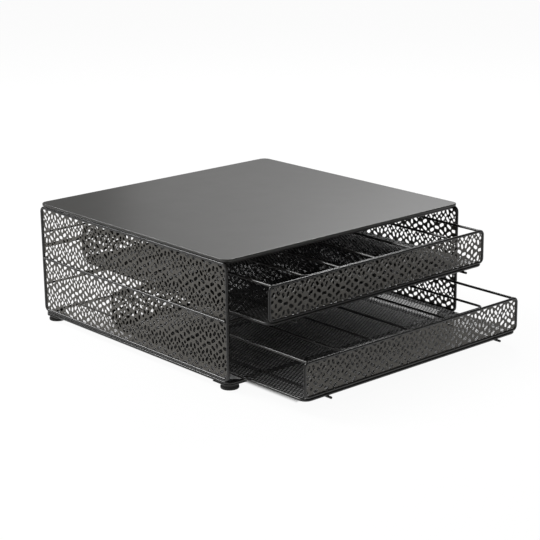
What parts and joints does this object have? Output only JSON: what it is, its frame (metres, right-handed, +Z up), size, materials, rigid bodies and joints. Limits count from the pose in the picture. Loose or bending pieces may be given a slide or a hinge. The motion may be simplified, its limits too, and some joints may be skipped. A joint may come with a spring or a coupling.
{
  "type": "coffee pod drawer",
  "caption": "Two-tier coffee pod drawer: an open wire case with a solid top and perforated sides, and two pull-out wire drawers with channels for pods.",
  "frame": {"origin": "bottom centre of the object's box at rest, with both drawers pulled out as drawn, on the surface it stands on", "axes": "+Z up; -Y towards the front, the way the drawers pull out; +X to the right of someone who faces the back of the case from the front"},
  "size_m": [0.3422, 0.4334, 0.1385],
  "materials": {
    "black_wire": "satin black powder coat on bent and welded steel wire",
    "top_sheet": "satin black powder coat on sheet steel",
    "perforated_sheet": "satin black powder coat on perforated sheet steel",
    "expanded_mesh": "satin black powder coat on fine expanded steel mesh",
    "foot_rubber": "matt moulded rubber",
    "screw_steel": "zinc-plated"
  },
  "bodies": {
    "case": {"top_plate": "top_sheet", "left_side_frame": "black_wire", "right_side_frame": "black_wire", "left_side_panel": "perforated_sheet", "right_side_panel": "perforated_sheet", "left_mid_rail": "black_wire", "right_mid_rail": "black_wire", "front_top_rail": "black_wire", "roof_wire_front": "black_wire", "roof_wire_mid_front": "black_wire", "roof_wire_mid_rear": "black_wire", "roof_wire_rear": "black_wire", "front_mid_rail": "black_wire", "inner_mid_rails": "black_wire", "rear_strip": "perforated_sheet", "rear_upper_wire": "black_wire", "rear_lower_wire": "black_wire", "base_frame": "black_wire", "left_base_rail": "black_wire", "right_base_rail": "black_wire", "front_left_foot_plate": "black_wire", "front_right_foot_plate": "black_wire", "rear_left_foot_plate": "black_wire", "rear_right_foot_plate": "black_wire", "front_left_foot": "foot_rubber", "front_right_foot": "foot_rubber", "rear_left_foot": "foot_rubber", "rear_right_foot": "foot_rubber", "foot_screws": "screw_steel"},
    "upper_drawer": {"upper_front_frame": "black_wire", "upper_front_panel": "perforated_sheet", "upper_back_frame": "black_wire", "upper_back_panel": "perforated_sheet", "upper_left_top_wire": "black_wire", "upper_right_top_wire": "black_wire", "upper_floor_frame": "black_wire", "upper_floor_mesh": "expanded_mesh", "upper_floor_cross_wires": "black_wire", "upper_divider_loop": "black_wire", "upper_left_divider": "black_wire", "upper_middle_divider": "black_wire", "upper_right_divider": "black_wire", "upper_left_runner": "black_wire", "upper_right_runner": "black_wire"},
    "lower_drawer": {"lower_front_frame": "black_wire", "lower_front_panel": "perforated_sheet", "lower_back_frame": "black_wire", "lower_back_panel": "perforated_sheet", "lower_left_top_wire": "black_wire", "lower_right_top_wire": "black_wire", "lower_floor_frame": "black_wire", "lower_floor_mesh": "expanded_mesh", "lower_floor_cross_wires": "black_wire", "lower_divider_loop": "black_wire", "lower_left_divider": "black_wire", "lower_middle_divider": "black_wire", "lower_right_divider": "black_wire", "lower_left_runner": "black_wire", "lower_right_runner": "black_wire"}
  },
  "joints": [
    {"name": "upper_drawer_slide", "type": "slide", "parent": "case", "child": "upper_drawer", "axis": [0, -1, 0], "range_m": [-0.0504, 0.0996]},
    {"name": "lower_drawer_slide", "type": "slide", "parent": "case", "child": "lower_drawer", "axis": [0, -1, 0], "range_m": [-0.101, 0.049]}
  ]
}
